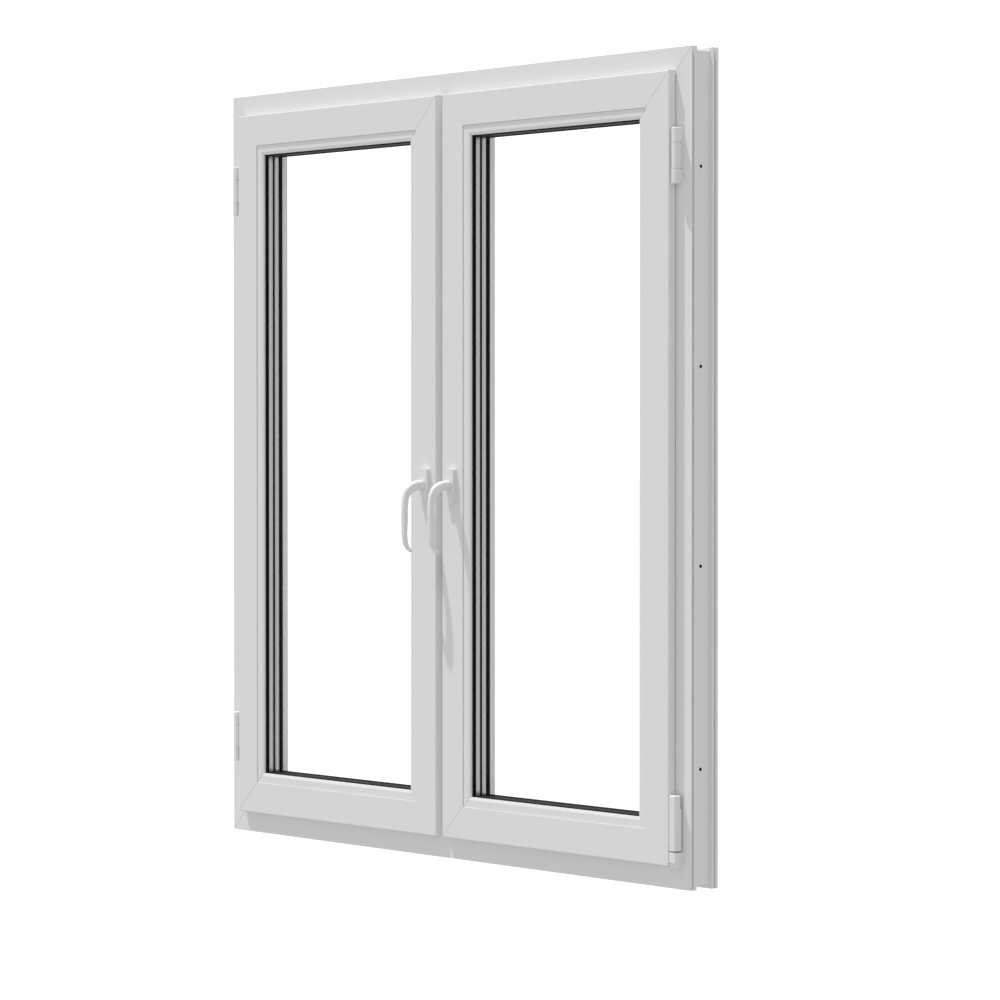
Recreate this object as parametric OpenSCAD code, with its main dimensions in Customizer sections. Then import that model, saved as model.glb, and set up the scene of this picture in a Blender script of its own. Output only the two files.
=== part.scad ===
// Two-sash inward-opening casement window in white plastic profiles.
// Millimetres, +Z up. X runs along the width from the middle of the window, Y runs from
// the room (-Y) to the outdoors (+Y) with 0 on the frame's room face, Z is 0 at its underside.

/* [Overall size] */
// Width over the outer frame
window_w = 1300; // [1160:10:1700]
// Height over the outer frame
window_h = 1400; // [1240:10:1900]
// Depth of the outer frame's profile
frame_d = 60; // [58:1:66]

/* [Outer frame] */
// Width of the frame's profile on the room side
frame_w = 47; // [44:1:54]
// How far the rebate flange stands past that width, outdoors
frame_flange = 20; // [18:1:23]
// Depth of the flat recess along the frame's outer edge
edge_recess = 7; // [4:0.5:8]
// Depth of the two clip slots along the frame's outer edge
edge_slot = 5; // [3:0.5:6]
// Free height between two sashes
sash_gap = 18.3; // [14:0.1:24]
// Diameter of the jamb fixing holes
fixing_d = 6; // [5:0.5:8]
// Height of the lowest fixing hole
fixing_low = 200; // [120:10:240]
// Distance of the highest fixing hole from the frame's top
fixing_high = 198; // [120:1:260]
// Distance between the upper three fixing holes
fixing_pitch = 332; // [250:1:360]
// Depth of the fixing holes behind the room face
fixing_y = 27; // [22:1:34]

/* [Sash] */
// How far the sash stands proud of the frame's room face
sash_proud = 16.3; // [14:0.1:19]
// Depth of the sash profile
sash_d = 60; // [58:1:64]
// How far the sash laps over the frame
sash_lap = 8; // [7.6:0.1:10]
// Gap between the sash's lap and the frame's room face
lap_gap = 0.8; // [0.7:0.1:1.5]
// Gap that the inner weather gasket closes between sash and rebate
seal_gap = 3; // [2.8:0.1:4]
// Clear space between the frame and the sash's hardware groove
hardware_gap = 12; // [11:0.5:14]
// Radius of the sash's outer room-side edge
sash_edge_r = 1.5; // [1:0.5:4]
// Thickness of the outer walls of the profiles
wall = 2.8; // [2.4:0.1:3]
// Thickness of the webs inside the profiles
web = 1.5; // [1.2:0.1:1.8]
// Thickness of the steel in the profiles
steel_t = 1.5; // [1.2:0.1:2.5]

/* [Glazing] */
// Distance of the bead's outer seam from the sash's edge
bead_s = 58.2; // [57:0.1:62]
// Width of the bead over its lip
bead_w = 18.3; // [17:0.1:20]
// How far the bead lies behind the sash's room face
bead_inset = 1.8; // [1:0.1:2.5]
// Distance of the glass behind the sash's room face
glass_inset = 10; // [9.5:0.1:12]
// Thickness of one pane
pane_t = 4; // [3:1:5]
// Width of each space between the panes
pane_gap = 10; // [8:1:11]
// Room under the glass edge for the setting blocks
glass_play = 4.8; // [4:0.1:6]
// Height of the spacer bars
spacer_h = 8; // [6:0.5:8.5]
// Thickness of the gasket on the outer side of the glass
outer_gasket_t = 4; // [3:0.5:5]

/* [Hinges] */
// Distance of the hinge axis from the frame's outer edge
hinge_in = 27; // [26:0.5:28]
// Distance of the hinge axis in front of the frame's room face
hinge_out = 10; // [10:0.1:12]
// Height of a three-part hinge
hinge_h = 93.5; // [80:0.5:110]
// Height of its middle part
hinge_mid = 43.1; // [36:0.1:50]
// Distance of a hinge's middle from the frame's nearest end
hinge_end = 180.5; // [150:0.5:240]
// Width of the hinges
hinge_w = 12; // [11.6:0.2:13]
// How far the hinges stand in front of their axis
hinge_front = 7.6; // [7.2:0.1:8]
// Diameter of the hinge pins
pin_d = 8; // [6:0.5:9]
// Radial running clearance of pins and spindles
running = 0.05; // [0.02:0.01:0.08]
// Length of the tilt stay from the hinge axis to its end
stay_l = 372; // [300:1:400]

/* [Handles] */
// Height of the spindles above the frame's underside
handle_z = 665; // [560:5:760]
// Distance of the spindles from the sash's meeting edge
handle_s = 28.5; // [28.2:0.1:29]
// Width of the handle plate
plate_w = 24; // [22:0.5:28]
// Height of the handle plate
plate_h = 61.8; // [56:0.2:70]
// Thickness of the handle plate
plate_t = 8; // [5:0.5:9]
// How far the grip's front stands in front of the sash
grip_out = 53.3; // [53:0.1:60]
// Length of the straight part of the grip
grip_l = 39; // [30:1:80]
// Travel of a drive rod for a quarter turn of its handle
rod_travel = 18; // [15:0.5:20]

/* [Hidden] */
$fn = 48;

// Colours
pvc = [0.94, 0.94, 0.95];
cap_white = [0.9, 0.9, 0.91];
steel = [0.66, 0.68, 0.7];
zinc = [0.78, 0.79, 0.8];
rubber = [0.06, 0.06, 0.07];
glass = [0.8, 0.9, 0.92, 0.3];
bar_grey = [0.62, 0.63, 0.64];
block_grey = [0.4, 0.42, 0.45];

// A hair's breadth by which a cutter runs past what it cuts
over = 1;
// Play between pieces that are pushed together by hand
loose = 0.2;
// Clearance of a soft gasket or a moving part from what it closes on
clear = 0.3;
// Play of the steels in their chambers
steel_play = 0.5;

// Sash rectangle and the planes that follow the depth, as Y values
reveal = frame_w - sash_lap;
sash_z0 = reveal;
sash_z1 = window_h - reveal;
sash_front = -sash_proud;
lap_back = -lap_gap;
sash_back = sash_front + sash_d;
flange_front = sash_back + seal_gap;
frame_outer_w = frame_w + frame_flange;
sash_body = sash_lap + hardware_gap;

// Glazing planes as Y values, and distances from the sash's edge
glass_front = sash_front + glass_inset;
unit_t = 3 * pane_t + 2 * pane_gap;
glass_back = glass_front + unit_t;
stop_front = glass_back + outer_gasket_t;
glass_edge = bead_s + glass_play;
bead_end = bead_s + bead_w;
stop_w = bead_end + 0.5;
spacer_end = bead_end + 2;
spacer_start = spacer_end - spacer_h;
gasket_nose = 3;

// Gasket grooves: their width and depth, and where their middle lies
groove_w = 3.5;
groove_d = 3.3;
seal_s = 4.45;
groove_edge = 4.8;
frame_gasket_u = frame_outer_w - groove_edge;
stop_groove_s = stop_w - 6.3;
bulb_r = 1.35;
foot_lip = 0.5;

// Hardware groove of the sash: forend recess and the wider room for rod and gearbox
forend_w = 16;
forend_t = 1.7;
groove_mid = 10;
rod_w = 10;
rod_t = 1.5;
under_w = 12;
under_d = 12;
recess_d = forend_t + 0.1;

// Gearbox
gearbox_h = 90;
gearbox_w = 13.6;
gearbox_s1 = 35;
hub_d = 10;
spindle_w = 7;
collar_d = 16;
spindle_hole_d = 12;
plate_screws = 43;
plate_screw_d = 5;

// Locking cams: distances from the sash's ends and from the spindle
cam_end = 150;
cam_mid = 250;
cam_d = 9;
cam_neck_d = 5;
cam_out = 7.5;
forend_end = 80;
rod_end = 110;
keep_l = 60;
keep_t = 2.4;

// Hinge parts: the rounding of their upright edges and the bevels of their ends
hinge_side = hinge_w / 2;
hinge_round = 3.5;
joint_bevel = 0.4;
end_bevel = 1.8;
leaf_t = 9;
leaf_end = 1;
cover_leaf_end = 10;
axis_y = -hinge_out;
upper_hinge_z = window_h - hinge_end;
lower_hinge_z = hinge_end;

// Corner hinge of the tilting sash
tilt_z = sash_z0 + 3;
bracket_z0 = tilt_z - 6;
bracket_top = tilt_z + 20.7;
bracket_step = tilt_z + 3.3;
bush_r = 5;
bush_low_r = 4.2;
tilt_ball_r = 3;
tilt_pin_r = 2;
tilt_play = 0.15;
cover_gap = 1.9;
cover_h = 92.8;
cover_step = 69.9;
cover_in = 9;
cover_back = 7.4;
cover_back_high = 4.7;
cover_round = 2.5;
bracket_floor = 2;
bush_play = 0.1;

// Stay arm: clear of the groove below and of the frame's head above
stay_t = 4;
stay_w = 12;
stay_lift = 2.2;
riser_w = 7;
riser_in = 2.5;
riser_d = 10.7;
tongue_t = 2;
tongue_y = -clear - tongue_t;
tongue_half = hinge_mid / 2 - leaf_end;
tongue_pocket = hinge_mid / 2 + 1;

function sash_x0(hand) = hand == "left" ? -window_w / 2 + reveal : sash_gap / 2;
function sash_x1(hand) = hand == "left" ? -sash_gap / 2 : window_w / 2 - reveal;
function lock_side(hand) = hand == "left" ? "right" : "left";
function cam_heights() = [sash_z0 + cam_end, handle_z - cam_mid, handle_z + cam_mid, sash_z1 - cam_end];

// A rectangle in a profile, from one corner to the other
module rect(u0, v0, u1, v1) {
    translate([u0, v0]) square([u1 - u0, v1 - v0]);
}

// A block from one corner to the other
module block(p, q) {
    translate(p) cube(q - p);
}

// What rounding takes off a corner at (u, v), whose material lies towards +su and +sv
module corner_cut(u, v, su, sv, r) {
    translate([u, v]) scale([su, sv]) difference() {
        translate([-over, -over]) square(r + over);
        translate([r, r]) circle(r);
    }
}

// Places a length that runs along +Z, with its profile's x inwards, as one side of a rectangle
module place_side(side, x0, x1, z0, z1) {
    if (side == "left") translate([x0, 0, z0]) children();
    if (side == "right") translate([x1, 0, z0]) mirror([1, 0, 0]) children();
    if (side == "bottom") translate([x0, 0, z0]) mirror([1, 0, -1]) children();
    if (side == "top") translate([x0, 0, z1]) mirror([0, 0, 1]) mirror([1, 0, -1]) children();
}

// One side of a rectangle with ends mitred at 45 degrees, from its profile
module mitred_side(side, x0, x1, z0, z1, reach) {
    upright = side == "left" || side == "right";
    run = upright ? z1 - z0 : x1 - x0;
    place_side(side, x0, x1, z0, z1) intersection() {
        linear_extrude(run) children();
        rotate([90, 0, 0]) translate([0, 0, -2 * frame_d]) linear_extrude(4 * frame_d)
            polygon([[0, 0], [reach, reach], [reach, run - reach], [0, run]]);
    }
}

// All four mitred sides
module mitred_ring(x0, x1, z0, z1, reach) {
    for (side = ["left", "right", "bottom", "top"])
        mitred_side(side, x0, x1, z0, z1, reach) children();
}

// One side of a rectangle with square ends, cut back from its corners
module square_side(side, x0, x1, z0, z1, back) {
    upright = side == "left" || side == "right";
    run = upright ? z1 - z0 : x1 - x0;
    place_side(side, x0, x1, z0, z1) translate([0, 0, back]) linear_extrude(run - 2 * back) children();
}

// Coordinates of a sash's meeting edge: x inwards over the sash
module at_lock_edge(hand) {
    if (hand == "left") translate([sash_x1(hand), 0, 0]) mirror([1, 0, 0]) children();
    if (hand == "right") translate([sash_x0(hand), 0, 0]) children();
}

// Coordinates of a hinge axis: x towards the sash
module at_hinge_axis(hand) {
    if (hand == "left") translate([-window_w / 2 + hinge_in, axis_y, 0]) children();
    if (hand == "right") translate([window_w / 2 - hinge_in, axis_y, 0]) mirror([1, 0, 0]) children();
}

// ---- Profiles, with u or s inwards from the outer edge and v along Y ----

// Chamber that holds the frame's steel
frame_steel_u0 = edge_recess + wall;
frame_steel_u1 = frame_w - wall;
frame_steel_v0 = 12;
frame_steel_v1 = flange_front - 5;
back_chamber_v0 = frame_steel_v1 + web;

// Lips, slots and ribs along the frame's outer edge
lip_t = 1.4;
slot_w = 4.6;
rib_t = 6;
back_rib_t = 3.4;
back_lip_t = 5.1;
recess_v0 = lip_t + slot_w + rib_t;
recess_v1 = frame_d - back_lip_t - slot_w - back_rib_t;

module frame_profile() {
    difference() {
        union() {
            rect(0, 0, frame_w, frame_d);
            rect(frame_w - over, flange_front, frame_outer_w, frame_d);
        }
        // outer edge: two clip slots and the recess for foam and fixings
        rect(-over, lip_t, edge_slot, lip_t + slot_w);
        rect(-over, recess_v0, edge_recess, recess_v1);
        rect(-over, recess_v1 + back_rib_t, edge_slot, recess_v1 + back_rib_t + slot_w);
        // gasket groove in the rebate flange
        rect(frame_gasket_u - groove_w / 2, flange_front - over,
            frame_gasket_u + groove_w / 2, flange_front + groove_d);
        // chambers
        rect(edge_recess + wall, wall, frame_w - wall, frame_steel_v0 - web);
        rect(frame_steel_u0, frame_steel_v0, frame_steel_u1, frame_steel_v1);
        rect(edge_recess + wall, back_chamber_v0, frame_w - wall, frame_d - wall);
        rect(frame_w - wall + web, flange_front + groove_d + web, frame_outer_w - wall, frame_d - wall);
        corner_cut(frame_outer_w, flange_front, -1, 1, 1.5);
        corner_cut(frame_outer_w, frame_d, -1, -1, 1.5);
    }
}

// Half-widths of the mullion, room side and over its flanges
mullion_half = sash_gap / 2 + sash_lap;
mullion_outer = mullion_half + frame_flange;
mullion_steel_half = mullion_half - wall;

module mullion_profile() {
    difference() {
        union() {
            rect(-mullion_half, 0, mullion_half, frame_d);
            rect(-mullion_outer, flange_front, mullion_outer, frame_d);
        }
        rect(-mullion_steel_half, wall, mullion_steel_half, frame_steel_v0 - web);
        rect(-mullion_steel_half, frame_steel_v0, mullion_steel_half, frame_steel_v1);
        rect(-mullion_steel_half, back_chamber_v0, mullion_steel_half, frame_d - wall);
        for (turn = [-1, 1]) scale([turn, 1]) {
            rect(mullion_outer - groove_edge - groove_w / 2, flange_front - over,
                mullion_outer - groove_edge + groove_w / 2, flange_front + groove_d);
            rect(mullion_steel_half + web, flange_front + groove_d + web,
                mullion_outer - wall, frame_d - wall);
            corner_cut(mullion_outer, flange_front, -1, 1, 1.5);
            corner_cut(mullion_outer, frame_d, -1, -1, 1.5);
        }
    }
}

// Tube drawn inside a chamber with its play
module tube(u0, v0, u1, v1, t) {
    difference() {
        rect(u0, v0, u1, v1);
        rect(u0 + t, v0 + t, u1 - t, v1 - t);
    }
}

// Low strip that lines the sash's lap, on the same foot as the bulb gasket
module lap_gasket() {
    rect(seal_s - groove_w / 2 + loose, lap_back - groove_d + loose, seal_s + groove_w / 2 - loose, lap_back);
    rect(seal_s - groove_w / 2 - foot_lip, lap_back, seal_s + groove_w / 2 + foot_lip, -clear);
}

// Bulb gasket: a foot that fills its groove and a bulb that stands out of it towards +v
module bulb_gasket(u, v) {
    translate([u, v]) {
        rect(-groove_w / 2 + loose, -groove_d + loose, groove_w / 2 - loose, 0);
        rect(-groove_w / 2 - foot_lip, 0, groove_w / 2 + foot_lip, seal_gap - clear - bulb_r);
        translate([0, seal_gap - clear - bulb_r]) circle(bulb_r);
    }
}

// Steel chamber of the sash
sash_steel_s0 = gearbox_s1 + web;
sash_steel_s1 = bead_s - wall;
sash_steel_v0 = lap_back - 1.3;
sash_steel_v1 = glass_back + 1.8;

// Clip groove for the bead's foot
clip_d = 4.2;
clip_v0 = sash_front + 5.8;
clip_v1 = clip_v0 + 3;

module sash_profile() {
    difference() {
        union() {
            rect(0, sash_front, sash_body + over, lap_back);
            rect(sash_body, sash_front, bead_s, sash_back);
            rect(bead_s - over, stop_front, stop_w, sash_back);
        }
        corner_cut(0, sash_front, 1, 1, sash_edge_r);
        corner_cut(0, lap_back, 1, -1, 1);
        corner_cut(bead_s, sash_front, -1, 1, 0.8);
        corner_cut(stop_w, stop_front, -1, 1, 1);
        corner_cut(stop_w, sash_back, -1, -1, 2);
        // hardware groove
        rect(sash_body - over, groove_mid - forend_w / 2, sash_body + recess_d, groove_mid + forend_w / 2);
        rect(sash_body, groove_mid - under_w / 2, sash_body + under_d, groove_mid + under_w / 2);
        // grooves for the seal, the bead's foot and the outer gasket
        rect(seal_s - groove_w / 2, lap_back - groove_d, seal_s + groove_w / 2, lap_back + over);
        rect(bead_s - clip_d, clip_v0, bead_s + over, clip_v1);
        rect(stop_groove_s - groove_w / 2, stop_front - over,
            stop_groove_s + groove_w / 2, stop_front + groove_d);
        // chambers
        rect(seal_s + groove_w / 2 + 2, sash_front + wall, sash_body + 8, lap_back - wall);
        rect(sash_body + 8 + web, sash_front + wall, bead_s - clip_d - wall, lap_back - wall);
        rect(sash_body + wall, sash_steel_v0, sash_steel_s0 - web, groove_mid - forend_w / 2 - web);
        rect(sash_body + wall, groove_mid + forend_w / 2 + wall, sash_steel_s0 - web, sash_back - wall);
        rect(sash_steel_s0, sash_steel_v0, sash_steel_s1, sash_steel_v1);
        rect(sash_steel_s0, sash_steel_v1 + web, sash_steel_s1, sash_back - wall);
        rect(sash_steel_s1 + web, stop_front + groove_d + web, stop_w - wall, sash_back - wall);
    }
}

// Bead: clipped foot, hollow body, sloped step and a thin lip over the gasket
bead_front = sash_front + bead_inset;
bead_back = glass_front - 1.7;
lip_front = glass_front - gasket_nose;

module bead_profile() {
    difference() {
        union() {
            polygon([[bead_s + loose, bead_front], [bead_end - 5.5, bead_front],
                [bead_end - 3.5, lip_front], [bead_end, lip_front], [bead_end, bead_back],
                [bead_s + loose, bead_back]]);
            rect(bead_s - clip_d + loose, clip_v0 + loose, bead_s + loose + over, clip_v1 - loose);
        }
        corner_cut(bead_s + loose, bead_front, 1, 1, 0.6);
        rect(bead_s + 2.2, bead_front + 1.6, bead_end - 7.5, bead_back - 1.5);
    }
}

// Black gasket between bead and glass, with the nose that shows past the bead's lip
module bead_gasket_profile() {
    rect(bead_s + 6, bead_back, bead_end, glass_front - loose);
    rect(bead_end, lip_front, bead_end + gasket_nose, glass_front - loose);
}

// Black gasket on the outdoor side of the glass
module stop_gasket_profile() {
    rect(glass_edge + 2, glass_back + loose, stop_w + 3.5, stop_front);
    rect(stop_groove_s - groove_w / 2 + loose, stop_front - over,
        stop_groove_s + groove_w / 2 - loose, stop_front + groove_d - loose);
}

// ---- Outer frame ----

fixing_heights = [fixing_low, for (i = [2 : -1 : 0]) window_h - fixing_high - i * fixing_pitch];

module fixing_drills() {
    for (z = fixing_heights)
        translate([-window_w, fixing_y, z]) rotate([0, 90, 0]) cylinder(d = fixing_d, h = 2 * window_w);
}

module frame_side(side) {
    mitred_side(side, -window_w / 2, window_w / 2, 0, window_h, frame_outer_w) frame_profile();
}

// Grooves in head and sill that carry the gasket grooves of the mullion round the corner
module mullion_groove_ends() {
    for (x = [-1, 1] * (mullion_outer - groove_edge), z = [[frame_gasket_u, frame_outer_w + over],
        [window_h - frame_outer_w - over, window_h - frame_gasket_u]])
        block([x - groove_w / 2, flange_front - over, z[0]],
            [x + groove_w / 2, flange_front + groove_d, z[1]]);
}

module frame_head() {
    color(pvc) difference() {
        frame_side("top");
        mullion_groove_ends();
    }
}

// Drain slots of the sill: distances from its ends and from the mullion, height and size
drain_end = 180;
drain_mid = 150;
drain_x = [-window_w / 2 + drain_end, -drain_mid, drain_mid, window_w / 2 - drain_end];
drain_z = 30;
drain_w = 30;
drain_slot = 5;

module frame_sill() {
    color(pvc) difference() {
        frame_side("bottom");
        mullion_groove_ends();
        // drain slots through the outdoor wall
        for (x = drain_x)
            block([x - drain_w / 2, frame_d - wall - over, drain_z - drain_slot / 2],
                [x + drain_w / 2, frame_d + over, drain_z + drain_slot / 2]);
    }
}

module frame_jamb_left() {
    color(pvc) difference() {
        frame_side("left");
        fixing_drills();
    }
}

module frame_jamb_right() {
    color(pvc) difference() {
        frame_side("right");
        fixing_drills();
    }
}

// The mullion stands between head and sill, its ends scribed round their rebate flanges
module mullion() {
    color(pvc) difference() {
        translate([0, 0, frame_w]) linear_extrude(window_h - 2 * frame_w) mullion_profile();
        for (z = [frame_w - over, window_h - frame_outer_w])
            block([-window_w, flange_front, z], [window_w, frame_d + over, z + frame_flange + over]);
    }
}

connector_l = 40;
connector_gap = 3;

module frame_steels() {
    color(steel) {
        difference() {
            for (side = ["left", "right", "bottom", "top"])
                square_side(side, -window_w / 2, window_w / 2, 0, window_h, frame_outer_w + 5)
                    tube(frame_steel_u0 + steel_play, frame_steel_v0 + steel_play,
                        frame_steel_u1 - steel_play, frame_steel_v1 - steel_play, steel_t);
            fixing_drills();
        }
        translate([0, 0, frame_w + connector_l + connector_gap])
            linear_extrude(window_h - 2 * (frame_w + connector_l + connector_gap))
                tube(-mullion_steel_half + steel_play, frame_steel_v0 + steel_play,
                    mullion_steel_half - steel_play, frame_steel_v1 - steel_play, steel_t);
    }
}

// Cast blocks that hold the mullion's ends to the head and the sill
module mullion_connectors() {
    half = mullion_steel_half - loose;
    color(zinc) for (z = [frame_w, window_h - frame_w - connector_l]) difference() {
        block([-half, frame_steel_v0 + loose, z], [half, frame_steel_v1 - loose, z + connector_l]);
        for (x = [-half / 2, half / 2]) translate([x, (frame_steel_v0 + frame_steel_v1) / 2, z - over])
            cylinder(d = 5, h = connector_l + 2 * over);
    }
}

// One ring of gasket round each of the two openings of the frame
module frame_gaskets() {
    inner = mullion_outer - groove_edge;
    outer = window_w / 2 - frame_gasket_u;
    color(rubber) for (x = [[-outer, -inner], [inner, outer]])
        mitred_ring(x[0] - seal_s, x[1] + seal_s, frame_gasket_u - seal_s,
            window_h - frame_gasket_u + seal_s, 2 * seal_s)
            translate([0, 2 * flange_front]) mirror([0, 1]) bulb_gasket(seal_s, flange_front);
}

// Hoods over the drain slots
module drain_caps() {
    hood_wall = 1.5;
    hood_w = drain_w + 12;
    hood_h = 14;
    hood_out = 6;
    color(cap_white) for (x = drain_x) translate([x - hood_w / 2, frame_d, drain_z - hood_h / 2])
        difference() {
            rotate([90, 0, 90]) linear_extrude(hood_w) polygon([[0, 0], [hood_out, 0],
                [hood_out, hood_h / 2], [hood_wall, hood_h], [0, hood_h]]);
            block([hood_wall, -over, -over], [hood_w - hood_wall, hood_out - hood_wall, hood_h / 2]);
        }
}

// Striking plates on the mullion, with a stop wall behind the path of the cams
module keeps(hand) {
    stop_t = 2;
    stop_out = 7;
    stop_in = 10;
    screw_in = 5;
    screw_d = 4;
    turn = hand == "left" ? -1 : 1;
    lift = hand == "left" ? rod_travel / 2 : rod_travel;
    color(zinc) for (z = cam_heights()) translate([turn * mullion_half, groove_mid, z + lift - keep_l / 2])
        mirror([hand == "left" ? 1 : 0, 0, 0]) difference() {
            union() {
                translate([0, -forend_w / 2, 0]) cube([keep_t, forend_w, keep_l]);
                block([0, forend_w / 2 - stop_t, stop_in], [stop_out, forend_w / 2, keep_l - stop_in]);
            }
            for (s = [screw_in, keep_l - screw_in]) translate([-over, 0, s])
                rotate([0, 90, 0]) cylinder(d = screw_d, h = keep_t + 2 * over);
        }
}

module left_keeps() {
    keeps("left");
}

module right_keeps() {
    keeps("right");
}

// ---- Sashes ----

module sash_side(hand, side) {
    mitred_side(side, sash_x0(hand), sash_x1(hand), sash_z0, sash_z1, stop_w) sash_profile();
}

// The meeting stile is milled for the gearbox, the spindle and the plate's screws
module lock_stile(hand) {
    difference() {
        sash_side(hand, lock_side(hand));
        at_lock_edge(hand) {
            pocket_w = gearbox_w + 2 * loose;
            pocket_h = gearbox_h + 2 * clear;
            block([sash_body + recess_d + over, groove_mid - pocket_w / 2, handle_z - pocket_h / 2],
                [gearbox_s1 + loose, groove_mid + pocket_w / 2, handle_z + pocket_h / 2]);
            translate([handle_s, groove_mid, handle_z]) rotate([90, 0, 0])
                cylinder(d = spindle_hole_d, h = sash_d);
            for (z = [-1, 1] * plate_screws / 2) translate([handle_s, groove_mid, handle_z + z])
                rotate([90, 0, 0]) cylinder(d = plate_screw_d, h = sash_d);
        }
    }
}

module sash_steels(hand) {
    color(steel) for (side = ["left", "right", "bottom", "top"])
        square_side(side, sash_x0(hand), sash_x1(hand), sash_z0, sash_z1, stop_w + 5)
            tube(sash_steel_s0 + steel_play, sash_steel_v0 + steel_play,
                sash_steel_s1 - steel_play, sash_steel_v1 - steel_play, steel_t);
}

module beads(hand) {
    color(pvc) mitred_ring(sash_x0(hand), sash_x1(hand), sash_z0, sash_z1, bead_end) bead_profile();
}

module glazing_gaskets(hand) {
    color(rubber) mitred_ring(sash_x0(hand), sash_x1(hand), sash_z0, sash_z1, stop_w + 5) {
        bead_gasket_profile();
        stop_gasket_profile();
    }
}

module sash_seal(hand) {
    color(rubber) mitred_ring(sash_x0(hand), sash_x1(hand), sash_z0, sash_z1, sash_lap) lap_gasket();
}

// Pane number 0, 1 or 2 from the room side
module pane(hand, number) {
    y = glass_front + number * (pane_t + pane_gap);
    color(glass) block([sash_x0(hand) + glass_edge, y, sash_z0 + glass_edge],
        [sash_x1(hand) - glass_edge, y + pane_t, sash_z1 - glass_edge]);
}

module spacers(hand) {
    color(bar_grey) for (number = [0, 1]) {
        y = glass_front + pane_t + number * (pane_t + pane_gap);
        mitred_ring(sash_x0(hand), sash_x1(hand), sash_z0, sash_z1, spacer_end)
            tube(spacer_start, y, spacer_end, y + pane_gap, 0.8);
    }
}

module edge_seal(hand) {
    color(rubber) for (number = [0, 1]) {
        y = glass_front + pane_t + number * (pane_t + pane_gap);
        mitred_ring(sash_x0(hand), sash_x1(hand), sash_z0, sash_z1, spacer_start)
            rect(glass_edge, y, spacer_start, y + pane_gap);
    }
}

block_l = 100;
block_in = 60;

module setting_blocks(hand) {
    x0 = sash_x0(hand) + glass_edge;
    x1 = sash_x1(hand) - glass_edge;
    z0 = sash_z0 + glass_edge;
    z1 = sash_z1 - glass_edge;
    color(block_grey) {
        for (x = [x0 + block_in, x1 - block_in - block_l], z = [z0 - glass_play, z1])
            block([x, glass_front, z], [x + block_l, glass_back, z + glass_play]);
        for (x = [x0 - glass_play, x1], z = [z0 + block_in, z1 - block_in - block_l])
            block([x, glass_front, z], [x + glass_play, glass_back, z + block_l]);
    }
}

// Face plate of the lock gear, slotted where the cams' necks travel
module forend(hand) {
    travel = hand == "left" ? rod_travel : 2 * rod_travel;
    color(zinc) at_lock_edge(hand) difference() {
        block([sash_body, groove_mid - forend_w / 2 + loose, sash_z0 + forend_end],
            [sash_body + forend_t, groove_mid + forend_w / 2 - loose, sash_z1 - forend_end]);
        for (z = cam_heights()) {
            block([sash_body - over, groove_mid - cam_neck_d / 2 - clear, z],
                [sash_body + forend_t + over, groove_mid + cam_neck_d / 2 + clear, z + travel]);
            for (end = [z, z + travel]) translate([sash_body - over, groove_mid, end])
                rotate([0, 90, 0]) cylinder(d = cam_neck_d + 2 * clear, h = forend_t + 2 * over);
        }
    }
}

module gearbox(hand) {
    color(zinc) at_lock_edge(hand) difference() {
        block([sash_body + recess_d + rod_t + loose, groove_mid - gearbox_w / 2, handle_z - gearbox_h / 2],
            [gearbox_s1, groove_mid + gearbox_w / 2, handle_z + gearbox_h / 2]);
        translate([handle_s, groove_mid + gearbox_w, handle_z]) rotate([90, 0, 0])
            cylinder(d = hub_d + 2 * running, h = 2 * gearbox_w);
        for (z = [-1, 1] * plate_screws / 2) translate([handle_s, groove_mid + gearbox_w, handle_z + z])
            rotate([90, 0, 0]) cylinder(d = plate_screw_d, h = 2 * gearbox_w);
    }
}

// Sliding rod behind the face plate, with its round locking cams
module drive_rod(hand) {
    rod_s = sash_body + recess_d + 0.1;
    color(zinc) at_lock_edge(hand) {
        block([rod_s, groove_mid - rod_w / 2, sash_z0 + rod_end],
            [rod_s + rod_t, groove_mid + rod_w / 2, sash_z1 - rod_end]);
        for (z = cam_heights()) translate([sash_body - loose, groove_mid, z]) {
            rotate([0, -90, 0]) cylinder(d = cam_d, h = cam_out);
            rotate([0, 90, 0]) cylinder(d = cam_neck_d, h = recess_d + rod_t / 2 + loose);
        }
    }
}

// ---- Handles ----

plate_front = sash_front - plate_t;

module handle_plate(hand) {
    color(cap_white) at_lock_edge(hand) translate([handle_s, sash_front, handle_z]) difference() {
        rotate([90, 0, 0]) linear_extrude(plate_t) difference() {
            translate([-plate_w / 2, -plate_h / 2]) square([plate_w, plate_h]);
            for (su = [-1, 1], sv = [-1, 1])
                corner_cut(-su * plate_w / 2, -sv * plate_h / 2, su, sv, 2);
        }
        translate([0, over, 0]) rotate([90, 0, 0])
            cylinder(d = collar_d + 2 * running, h = plate_t + 2 * over);
    }
}

// Collar that turns in the plate, square bar, and the hub in the gearbox
module spindle(hand) {
    hub_t = gearbox_w - 2 * loose;
    hub_y = groove_mid - hub_t / 2;
    color(steel) at_lock_edge(hand) translate([handle_s, 0, handle_z]) {
        translate([0, sash_front - clear, 0]) rotate([90, 0, 0]) cylinder(d = collar_d, h = plate_t);
        block([-spindle_w / 2, sash_front - over, -spindle_w / 2],
            [spindle_w / 2, hub_y + over, spindle_w / 2]);
        translate([0, hub_y + hub_t, 0]) rotate([90, 0, 0]) cylinder(d = hub_d, h = hub_t);
    }
}

// The lever is swept along its own middle line, which is made of arcs. heading is 0 towards
// the room and 90 straight down; each arc is [radius, turn in degrees].
neck_arcs = [[90, 5], [40, 25], [24, 30], [32, 20], [115, 10]];
tip_arcs = [[90, 10], [27, 50]];
tip_turn = 60;
arc_step = 5;
neck_lift = 1.4;
neck_half = 9.2;
neck_half_w = 8.4;
grip_half = 5;
grip_half_w = 4.6;
grip_end_half = 3.7;
tip_half = 2.2;
tip_half_w = 3.6;
tip_round = 1.6;
ring_sides = 24;

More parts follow.
